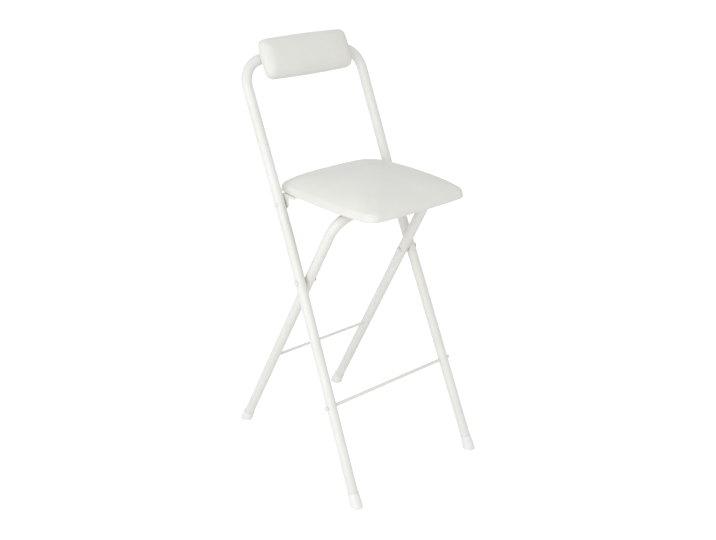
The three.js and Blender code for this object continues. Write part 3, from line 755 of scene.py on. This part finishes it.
def rear_bar():
    """The bar between the rear legs and its welds."""
    middle = rear_leg_point(REAR_BAR_HEIGHT)
    leg_x = -middle.x
    middle.x = 0
    half = leg_x - TUBE_R + FIT
    outline = [(0.0, -half), (REAR_BAR_R, -half), (REAR_BAR_R, half), (0.0, half)]
    bar = lathe(outline, aimed(middle, (1, 0, 0)), BAR_SIDES)
    add_piece("rear_bar", bar, "rear_frame", "coat", "rear_crossbar")
    for word, side in SIDES.items():
        end = middle + Vector((side * (leg_x - TUBE_R - WELD_R / 3), 0, 0))
        bead = weld_bead(aimed(end, (side, 0, 0)), REAR_BAR_R + WELD_R / 4, WELD_R)
        add_piece(f"rear_bar_weld_{word}", bead, "rear_frame", "coat")


# Foot caps

def cap_outline(start):
    """A cap's outline along the leg: a wide base, a step, and a sleeve with a rounded lip."""
    top = start + CAP_LENGTH
    bore = TUBE_R + FIT
    deep = -CAP_BASE_R
    outline = [(0.0, deep), (CAP_BASE_R, deep)]
    outline += arc_pairs(CAP_BASE_R - CAP_LIP, CAP_BASE_LENGTH - CAP_LIP, CAP_LIP, 0, 70)
    outline += [(CAP_NECK_R, CAP_BASE_LENGTH + CAP_STEP)]
    outline += arc_pairs(CAP_TOP_R - CAP_LIP, top - CAP_LIP, CAP_LIP, 0, 90)
    outline += [(bore, top), (bore, start), (0.0, start)]
    return outline


def foot_cap(foot, along):
    """A cap on its leg, cut flat by the floor with a rounded edge there."""
    lean = math.acos(along.z)
    start = (CAP_SOLE + TUBE_R * math.sin(lean)) / math.cos(lean) - FIT
    bm = lathe(cap_outline(start), aimed(foot, along), TUBE_SIDES)
    bmesh.ops.remove_doubles(bm, verts=bm.verts, dist=FIT / 30)
    cut = cut_flat(bm, (0, 0, 0), (0, 0, -1), clear_outer=True)
    rim = [edge for edge in cut["geom_cut"] if isinstance(edge, bmesh.types.BMEdge)]
    sole = bmesh.ops.contextual_create(bm, geom=rim)["faces"]
    round_edges(bm, [edge for face in sole for edge in face.edges], CAP_EDGE, 5)
    return bm


def foot_caps():
    for row, body, point_at, height in (
        ("front", "front_frame", front_leg_point, SPLAY_HEIGHT),
        ("rear", "rear_frame", rear_leg_point, crossing.z),
    ):
        for word, side in SIDES.items():
            foot, above = point_at(0.0), point_at(height)
            if side > 0:
                foot, above = mirrored(foot), mirrored(above)
            cap = foot_cap(foot, (above - foot).normalized())
            add_piece(f"cap_{row}_{word}", cap, body, "cap", f"foot_cap_{row}_{word}")


# Crossing pivots and seat hinges

def at_side(point, side, x):
    return Vector((side * x, point.y, point.z))


def reach_x(node):
    """How near to the stool's middle plane a node comes, and how far from it."""
    return sorted(abs(corner.x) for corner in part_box(node))


def inner_place(node, axis, side):
    """A matrix on a joint's axis at a node's inner end, its Z pointing outwards."""
    return aimed(at_side(axis, side, reach_x(node)[0]), (side, 0, 0))


def crossing_pivots():
    """A domed rivet through both tubes, a nylon spacer between them and a washer under the formed end."""
    for word, side in SIDES.items():
        node = f"crossing_rivet_{word}"
        near, far = reach_x(node)
        inner, outer = near + RIVET_TAIL_RISE, far - RIVET_HEAD_RISE
        shank = [(RIVET_R, inner - outer), (RIVET_R, 0.0)]
        tail = [(r, inner - outer - h) for r, h in dome_pairs(RIVET_TAIL_R, RIVET_TAIL_RISE)]
        outline = tail[::-1] + shank + dome_pairs(RIVET_HEAD_R, RIVET_HEAD_RISE)
        rivet = lathe(outline, aimed(at_side(crossing, side, outer), (side, 0, 0)))
        add_piece(f"rivet_{word}", rivet, "front_frame", "coat", node)
        for kind, radius, thick, slot in (
            ("spacer", SPACER_R, SPACER_THICK, "nylon"),
            ("washer", RIVET_WASHER_R, RIVET_WASHER_THICK, "fastener"),
        ):
            node = f"crossing_{kind}_{word}"
            outline = ring_pairs(radius, RIVET_R + FIT, thick, RIVET_DISC_EDGE)
            disc = lathe(outline, inner_place(node, crossing, side))
            add_piece(f"pivot_{kind}_{word}", disc, "front_frame", slot, node)


def threaded_pairs(radius, start, length):
    """A bolt's end with the grooves of its thread, from start down to its chamfered tip."""
    pairs = []
    turns = int(length / THREAD_PITCH)
    for k in range(turns):
        top = start - k * THREAD_PITCH
        pairs += [(radius, top), (radius - THREAD_DEPTH, top - THREAD_PITCH / 2)]
    tip = start - length
    pairs += [(radius, tip + THREAD_PITCH), (radius - THREAD_DEPTH, tip), (0.0, tip)]
    return pairs[::-1]


def hex_nut(place, flats, thick, bore):
    """A hexagon nut with chamfered corners and a bore."""
    half = flats / 2
    corner = half / math.cos(math.pi / 6)
    drawn = (corner - half) * NUT_DRAWN_SHARE
    rise = drawn * NUT_CHAMFER_SLOPE
    turns = [2 * math.pi * k / NUT_SIDES % (math.pi / 3) - math.pi / 6 for k in range(NUT_SIDES)]
    bm = bmesh.new()
    rings = []
    for height, inset in ((0.0, drawn), (rise, 0.0), (thick - rise, 0.0), (thick, drawn)):
        radii = [min(half / math.cos(turn), corner - inset) for turn in turns]
        rings.append(ring_at(bm, place, radii, height))
    for height in (thick, 0.0):
        rings.append(ring_at(bm, place, [bore] * NUT_SIDES, height))
    join_all(bm, rings, closed=True)
    return bm


def seat_hinges():
    """A domed bolt through each upright, with its plastic washer and its nut inside the ear."""
    for word, side in SIDES.items():
        node = f"seat_hinge_bolt_{word}"
        near, far = reach_x(node)
        head = far - HINGE_HEAD_RISE
        thread = HINGE_NUT_THICK + HINGE_BOLT_TAIL
        shank = threaded_pairs(HINGE_BOLT_R, thread - (head - near), thread) + [(HINGE_BOLT_R, 0.0)]
        outline = shank + dome_pairs(HINGE_HEAD_R, HINGE_HEAD_RISE)
        bolt = lathe(outline, aimed(at_side(hinge, side, head), (side, 0, 0)))
        add_piece(f"hinge_bolt_{word}", bolt, "front_frame", "coat", node)

        node = f"seat_hinge_washer_{word}"
        bore = HINGE_BOLT_R + FIT
        outline = ring_pairs(HINGE_WASHER_R, bore, HINGE_WASHER_THICK, HINGE_WASHER_EDGE)
        washer = lathe(outline, inner_place(node, hinge, side))
        add_piece(f"hinge_washer_{word}", washer, "front_frame", "nylon", node)

        node = f"seat_hinge_nut_{word}"
        place = inner_place(node, hinge, side)
        nut = hex_nut(place, HINGE_NUT_FLATS, HINGE_NUT_THICK, HINGE_BOLT_R + FIT / 2)
        add_piece(f"hinge_nut_{word}", nut, "front_frame", "fastener", node)


# Sheet-metal parts under the seat

def quadratic(start, control, end, steps=12):
    """Points of a soft corner, from its start point to its end point."""
    points = []
    for k in range(steps + 1):
        t = k / steps
        blend = [(1 - t) ** 2 * a + 2 * t * (1 - t) * b + t**2 * c for a, b, c in zip(start, control, end)]
        points.append(tuple(blend))
    return points


def box_middle(node):
    return [(low + high) / 2 for low, high in zip(*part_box(node))]


def circle(centre, radius, steps=32):
    turns = [2 * math.pi * k / steps for k in range(steps)]
    return [(centre[0] + radius * math.cos(a), centre[1] + radius * math.sin(a)) for a in turns]


def cut_flat(bm, point, normal, **options):
    """Cuts a whole mesh by a plane."""
    geometry = bm.verts[:] + bm.edges[:] + bm.faces[:]
    return bmesh.ops.bisect_plane(bm, geom=geometry, plane_co=point, plane_no=normal, **options)


def round_edges(bm, edges, radius, segments):
    """Rounds edges as far as they leave room."""
    rounding = {"offset": radius, "segments": segments, "profile": 0.5}
    bmesh.ops.bevel(bm, geom=edges, affect="EDGES", clamp_overlap=True, **rounding)


def flat_blank(outline, holes, cuts):
    """A flat sheet in (s, t) with holes, cut across at each s of a list so that it can bend."""
    bm = bmesh.new()
    for loop in [outline, *holes]:
        points = [bm.verts.new((s, t, 0)) for s, t in loop]
        for first, second in zip(points, points[1:] + points[:1]):
            bm.edges.new((first, second))
    bmesh.ops.triangle_fill(bm, use_beauty=True, edges=bm.edges[:])
    for s in cuts:
        cut_flat(bm, (s, 0, 0), (1, 0, 0))
    return bm


def thicken(bm, thick, edge):
    """Gives a flat sheet its thickness along z and rounds its outer edges a little."""
    bmesh.ops.recalc_face_normals(bm, faces=bm.faces)
    made = bmesh.ops.extrude_face_region(bm, geom=bm.faces[:])
    for item in made["geom"]:
        if isinstance(item, bmesh.types.BMVert):
            item.co.z += thick
    bmesh.ops.recalc_face_normals(bm, faces=bm.faces)
    sharp = [e for e in bm.edges if len(e.link_faces) == 2 and e.calc_face_angle() > SHEET_SHARP_ANGLE]
    round_edges(bm, sharp, edge, 2)


def bracket_blank(end, tip, front):
    """The hinge bracket unfolded: a rounded ear, a narrow lip to its front, the bend, and a flange."""
    back, corner = BRACKET_EAR_R, BRACKET_CORNER
    outline = quadratic((0.0, 0.0), (0.0, back), (back, back))
    outline += quadratic((end - corner, back), (end, back), (end, back - corner))
    outline += quadratic((end, front + corner), (end, front), (end - corner, front))
    outline += [(tip, front)]
    outline += quadratic((tip, -back - corner), (tip, -back), (tip - corner, -back))
    outline += quadratic((back, -back), (0.0, -back), (0.0, 0.0))[:-1]
    return outline


def hinge_brackets():
    """A folded steel bracket on each side: ear on the hinge bolt, flange under the board."""
    radius = BRACKET_BEND_R
    for word, side in SIDES.items():
        node = f"seat_bracket_{word}"
        low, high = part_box(node)
        inner, outer = reach_x(node)
        outer -= BRACKET_THICK / 2
        top = high.z - BRACKET_THICK / 2
        ear = top - radius - low.z
        bend = radius * math.pi / 2
        end = ear + bend + (outer - radius - inner)
        tip = high.z - BRACKET_THICK - BRACKET_TIP - low.z
        holes = [circle((BRACKET_EAR_R, 0.0), HINGE_BOLT_R + FIT)]
        for row in (1, 2):
            x, y, _ = box_middle(f"bracket_screw_{word}_{row}")
            along = ear + bend + (outer - radius - abs(x))
            holes.append(circle((along, y - hinge.y), SCREW_R + FIT))
        cuts = [ear + bend * k / BRACKET_BEND_STEPS for k in range(BRACKET_BEND_STEPS + 1)]
        bm = flat_blank(bracket_blank(end, tip, low.y - hinge.y), holes, cuts)
        thicken(bm, BRACKET_THICK, BRACKET_EDGE)
        for vert in bm.verts:
            s, t, depth = vert.co
            depth -= BRACKET_THICK / 2
            if s < ear:
                x, z, nx, nz = outer, low.z + s, 1.0, 0.0
            elif s < ear + bend:
                angle = (s - ear) / radius
                nx, nz = math.cos(angle), math.sin(angle)
                x, z = outer - radius + radius * nx, top - radius + radius * nz
            else:
                x, z, nx, nz = outer - radius - (s - ear - bend), top, 0.0, 1.0
            vert.co = (side * (x + nx * depth), hinge.y + t, z + nz * depth)
        add_piece(f"bracket_{word}", bm, "seat", "coat", node)


def hook_outline(low, high):
    """A hook from its side, in (y, z): plate under the board, arm round the tube's front, short lip."""
    inner = TUBE_R + FIT
    outer = inner + HOOK_THICK
    middle = (inner + outer) / 2
    y, z = high.y, high.z - outer
    tip = 180 + HOOK_LIP
    lip_y, lip_z = y + middle * math.cos(math.radians(tip)), z + middle * math.sin(math.radians(tip))
    outline = arc_pairs(y, z, inner, 90, tip, HOOK_STEPS)
    outline += arc_pairs(lip_y, lip_z, HOOK_THICK / 2, tip + 180, tip, 8)[1:-1]
    outline += arc_pairs(y, z, outer, tip, 180, 8)
    knee = (y - outer, high.z - HOOK_THICK)
    fillet = (knee[0], knee[1] - HOOK_FILLET), knee, (knee[0] - HOOK_FILLET, knee[1])
    outline += quadratic(*fillet, 6)
    outline += [(low.y, knee[1]), (low.y, high.z), (y, high.z)]
    return outline


def tube_hooks():
    """Steel hooks under the board that catch the rear frame's top tube."""
    for word in SIDES:
        node = f"tube_hook_{word}"
        low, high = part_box(node)
        bm = flat_blank(hook_outline(low, high), [], [])
        thicken(bm, high.x - low.x, HOOK_EDGE)
        for vert in bm.verts:
            y, z, x = vert.co
            vert.co = (low.x + x, y, z)
        add_piece(f"hook_{word}", bm, "seat", "coat", node)


def cross_recess(place, radius, rise):
    """A cutter for a cross recess in a pan head: two crossed tapered blades."""
    bm = bmesh.new()
    depth = rise * RECESS_DEPTH_SHARE
    for turn in (0, math.pi / 2):
        spin = Matrix.Rotation(turn, 4, "Z")
        corners = []
        for height, share in ((rise + radius / 4, RECESS_TOP_SHARE), (rise - depth, RECESS_FLOOR_SHARE)):
            reach = radius * RECESS_REACH_SHARE * share
            width = radius * RECESS_WIDTH_SHARE * (0.5 + share / 2)
            for x, y in ((reach, width), (-reach, width), (-reach, -width), (reach, -width)):
                corners.append(bm.verts.new(place @ spin @ Vector((x, y, height))))
        top, bottom = corners[:4], corners[4:]
        bm.faces.new(top)
        bm.faces.new(bottom[::-1])
        join_rings(bm, top, bottom)
    return bm


def cut_away(piece, cutter_mesh):
    """Cuts a mesh out of a piece."""
    bmesh.ops.recalc_face_normals(cutter_mesh, faces=cutter_mesh.faces)
    cutter = link_new("cutter", kept_mesh("cutter", cutter_mesh))
    modifier = piece.modifiers.new("recess", "BOOLEAN")
    modifier.operation = "DIFFERENCE"
    modifier.solver = "EXACT"
    modifier.use_self = True
    modifier.object = cutter
    apply_modifiers(piece)
    bpy.data.objects.remove(cutter)


def apply_modifiers(piece):
    """Keeps a piece's mesh as its modifiers make it, and removes them."""
    graph = bpy.context.evaluated_depsgraph_get()
    shaped = bpy.data.meshes.new_from_object(piece.evaluated_get(graph))
    piece.modifiers.clear()
    old = piece.data
    piece.data = shaped
    bpy.data.meshes.remove(old)
    shaped.name = piece.name
    shade(shaped)


def pan_screw(node, place, size, body):
    """A pan-head screw with a cross recess for a node; its head is above z = 0."""
    length, shank_r, head_r, rise = size
    edge = rise * PAN_EDGE_SHARE
    head = [(head_r * r, rise * h) for r, h in PAN_FOOT]
    head += arc_pairs(head_r - edge, edge, edge, 0, 60, 6)
    crest = head[-1][0]
    head += [(crest * r, rise * h) for r, h in PAN_CROWN]
    neck = length * SCREW_NECK_SHARE
    shank = threaded_pairs(shank_r, -neck, length - neck) + [(shank_r, 0.0)]
    screw = add_piece(f"{node}_pan", lathe(shank + head, place, BAR_SIDES), body, "fastener", node)
    cut_away(screw, cross_recess(place, head_r, rise))


def board_screws():
    """The screws that hold brackets and hooks to the seat board, heads down."""
    for kind in ("bracket_screw", "hook_screw"):
        for word in SIDES:
            for row in (1, 2):
                node = f"{kind}_{word}_{row}"
                low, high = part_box(node)
                x, y, _ = box_middle(node)
                under = Vector((x, y, low.z + SCREW_HEAD_RISE))
                size = (high.z - under.z, SCREW_R, SCREW_HEAD_R, SCREW_HEAD_RISE)
                pan_screw(node, aimed(under, (0, 0, -1)), size, "seat")


# Pads

def side_point(pad, quarter, share):
    """A point of a pad's outline.

    Quarters run between the corner diagonals, anticlockwise from the right side.
    """
    near, far, half_w, half_d = (pad[key] for key in ("near_corner", "far_corner", "half_w", "half_d"))
    first, last = [(near, far), (far, far), (far, near), (near, near)][quarter]
    out, along = (half_w, half_d) if quarter % 2 == 0 else (half_d, half_w)
    arcs = (first * math.pi / 4, last * math.pi / 4)
    straight = 2 * along - first - last
    run = share * (arcs[0] + straight + arcs[1])
    if run < arcs[0]:
        angle = run / first - math.pi / 4
        x, y = out - first + first * math.cos(angle), first - along + first * math.sin(angle)
    elif run < arcs[0] + straight:
        x, y = out, first - along + run - arcs[0]
    else:
        angle = (run - arcs[0] - straight) / last
        x, y = out - last + last * math.cos(angle), along - last + last * math.sin(angle)
    for _ in range(quarter):
        x, y = -y, x
    bow_x = pad["side_bow"] * (1 - (y / half_d) ** 2) * x / half_w
    bow_y = pad["end_bow"] * (1 - (x / half_w) ** 2) * y / half_d
    return Vector((x + bow_x, y + bow_y))


def gauge_point(pad, u, v):
    """The outline point towards (u, v) of the unit square, and how far out the square's point lies."""
    reach = max(abs(u), abs(v))
    if reach == 0:
        return Vector((0, 0)), 0.0
    if abs(u) >= abs(v):
        quarter, share = (0, (v / reach + 1) / 2) if u > 0 else (2, (1 - v / reach) / 2)
    else:
        quarter, share = (1, (1 - u / reach) / 2) if v > 0 else (3, (u / reach + 1) / 2)
    return side_point(pad, quarter, share), reach


def rim_shape(edge):
    """The rim's outline from its top edge down to its underside, smoothed through its shares."""
    shares = RIM_SHARES[::-1]
    padded = [shares[0]] + shares + [shares[-1]]
    points = []
    for k in range(RIM_STEPS + 1):
        at = k / RIM_STEPS * (len(shares) - 1)
        i = min(int(at), len(shares) - 2)
        t = at - i
        p = padded[i : i + 4]
        blend = []
        for a, b, c, d in zip(*p):
            blend.append(b + t / 2 * (c - a + t * (2 * a - 5 * b + 4 * c - d + t * (3 * (b - c) + d - a))))
        points.append((blend[0] * edge, blend[1] * edge))
    return points


def dome_height(pad, u, v):
    """How high the foam bulges over the rim: steep at the edge, flatter towards the middle."""
    inset_x, inset_y = (1 - abs(u)) * pad["half_w"], (1 - abs(v)) * pad["half_d"]
    if min(inset_x, inset_y) < FIT / 10:
        return 0.0
    inset = (inset_x**-DOME_ROUND + inset_y**-DOME_ROUND) ** (-1 / DOME_ROUND)
    return pad["dome"] * (1 - math.exp(-inset / pad["ease"]))


def fallen(pad, y, height):
    """A height on a pad that gets thinner towards its far edge."""
    way = max(0.0, (y / pad["half_d"] - FALL_START_SHARE) / (1 - FALL_START_SHARE))
    return height * (1 - pad["fall_share"] * way**2)


def pad_skin(pad, slack):
    """A pad's outer skin as even quads, open under the board: dome, rim and the hem turned under it."""
    bm = bmesh.new()
    across, deep = pad["cells"]
    half_w, half_d, edge = pad["half_w"], pad["half_d"], pad["edge"]
    rim = rim_shape(edge)

    def placed(outline, inset, height, scale=1.0):
        x = outline.x * (1 - inset / half_w) * scale
        y = outline.y * (1 - inset / half_d) * scale
        return bm.verts.new((x, y, fallen(pad, y, height)))

    grid = []
    for j in range(deep + 1):
        row = []
        for i in range(across + 1):
            u, v = 2 * i / across - 1, 2 * j / deep - 1
            outline, reach = gauge_point(pad, u, v)
            height = rim[0][1] - slack + dome_height(pad, u, v)
            row.append(placed(outline, rim[0][0] + slack, height, reach))
        grid.append(row)
    for lower, upper in zip(grid, grid[1:]):
        for i in range(across):
            bm.faces.new((lower[i], lower[i + 1], upper[i + 1], upper[i]))

    border = [(across, j) for j in range(deep)] + [(i, deep) for i in range(across, 0, -1)]
    border += [(0, j) for j in range(deep, 0, -1)] + [(i, 0) for i in range(across)]
    outlines = [gauge_point(pad, 2 * i / across - 1, 2 * j / deep - 1)[0] for i, j in border]
    ring = [grid[j][i] for i, j in border]
    bottom_inset = RIM_SHARES[0][0] * edge
    width = HEM_WIDTH - bottom_inset
    hem = [(bottom_inset + width * k / HEM_STEPS, 0.0) for k in range(1, HEM_STEPS + 1)]
    for inset, height in rim[1:] + hem:
        drawn = slack if height > edge * SLACK_FROM_SHARE else 0.0
        below = [placed(outline, inset + drawn, height) for outline in outlines]
        for k in range(len(ring)):
            j = (k + 1) % len(ring)
            bm.faces.new((ring[k], below[k], below[j], ring[j]))
        ring = below
    return bm


def eased(mesh, moved):
    """The moves of a mesh's points, evened out with their neighbours' so that no sharp crease stays."""
    beside = [[] for _ in moved]
    for edge in mesh.edges:
        first, second = edge.vertices
        beside[first].append(second)
        beside[second].append(first)
    for _ in range(SMOOTH_STEPS):
        moved = [sum((moved[k] for k in near), own) / (len(near) + 1) for own, near in zip(moved, beside)]
    return moved


def swell(piece, edge):
    """Fills a cover with air pressure by cloth simulation, its hem held, and keeps the result."""
    held = piece.vertex_groups.new(name="held")
    for vert in piece.data.vertices:
        low = vert.co.z / edge
        weight = min(1.0, max(0.0, 1 - (low - HELD_SHARE) / HELD_FADE_SHARE))
        held.add([vert.index], weight, "REPLACE")
    cloth = piece.modifiers.new("cover", "CLOTH")
    settings = cloth.settings
    settings.effector_weights.gravity = 0
    settings.use_pressure = True
    settings.uniform_pressure_force = PRESSURE
    settings.vertex_group_mass = held.name
    for kind, value in STIFFNESS.items():
        setattr(settings, f"{kind}_stiffness", value)
    cloth.point_cache.frame_end = SIM_FRAMES
    scene = bpy.context.scene
    for step in range(1, SIM_FRAMES + 1):
        scene.frame_set(step)
    shaped = piece.evaluated_get(bpy.context.evaluated_depsgraph_get())
    points = shaped.to_mesh().vertices
    moved = [after.co - before.co for after, before in zip(points, piece.data.vertices)]
    shaped.to_mesh_clear()
    moved = eased(piece.data, moved)
    piece.modifiers.clear()
    piece.vertex_groups.clear()
    for vert, move in zip(piece.data.vertices, moved):
        if move.length > 0:
            vert.co += move * (SWELL_CAP * math.tanh(move.length / SWELL_CAP) / move.length)
    scene.frame_set(1)


def pad_piece(name, pad, place, body, *nodes):
    """A sewn cover over foam: simulated skin, made fine, given its thickness and set in place."""
    piece = add_piece(name, pad_skin(pad, SLACK), body, "vinyl", *nodes)
    swell(piece, pad["edge"])
    fine = piece.modifiers.new("fine", "SUBSURF")
    fine.levels = fine.render_levels = 1
    wall = piece.modifiers.new("wall", "SOLIDIFY")
    wall.thickness = COVER_THICK
    wall.offset = -1
    wall.use_even_offset = True
    apply_modifiers(piece)
    piece.data.transform(place)


def seat_place():
    """The middle of the seat pad's underside, its back edge where the frame's seat has it."""
    low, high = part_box("seat_cover")
    return Matrix.Translation(((low.x + high.x) / 2, high.y - SEAT["half_d"] - SEAT["end_bow"], low.z))


def back_frame():
    """Where the top tube's middle is: x across, y up the frame, z to the front."""
    tilt = math.atan2(hinge.y - mounts["foot_front_left"].y, hinge.z)
    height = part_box("front_frame_tube")[1].z - TUBE_R
    top = front_leg_point(height)
    return Matrix.Translation((0, top.y, height)) @ Matrix.Rotation(math.pi / 2 - tilt, 4, "X")


def pads():
    pad_piece("seat_pad", SEAT, seat_place(), "seat", "seat_cover", "seat_foam")
    place = back_frame() @ Matrix.Translation((0, -BACK_DROP, TUBE_R + FIT))
    pad_piece("back_pad", BACK, place, "front_frame", "back_cover", "back_foam")


def back_bolts():
    """Bolts from behind the top tube into the back pad's board."""
    size = (2 * TUBE_R + FIT + BACK_BOLT_REACH, BACK_BOLT_R, BACK_BOLT_HEAD_R, BACK_BOLT_HEAD_RISE)
    for word, side in SIDES.items():
        place = back_frame() @ Matrix.Translation((side * BACK_BOLT_SPACING / 2, 0, -TUBE_R - FIT))
        place = place @ Matrix.Rotation(math.pi, 4, "X")
        pan_screw(f"back_bolt_{word}", place, size, "front_frame")


def dress_nodes():
    """Materials for the frame's own pieces that stay in view."""
    for slot, nodes in KEPT_NODES.items():
        for node in nodes:
            mesh = frame["nodes"][node].data
            mesh.materials.clear()
            mesh.materials.append(finishes[slot])


make_camera()
make_stage()
make_lights()
frame_tubes()
footrest()
rear_bar()
foot_caps()
crossing_pivots()
seat_hinges()
hinge_brackets()
tube_hooks()
board_screws()
pads()
back_bolts()
dress_nodes()
bpy.context.scene.view_settings.view_transform = "Standard"
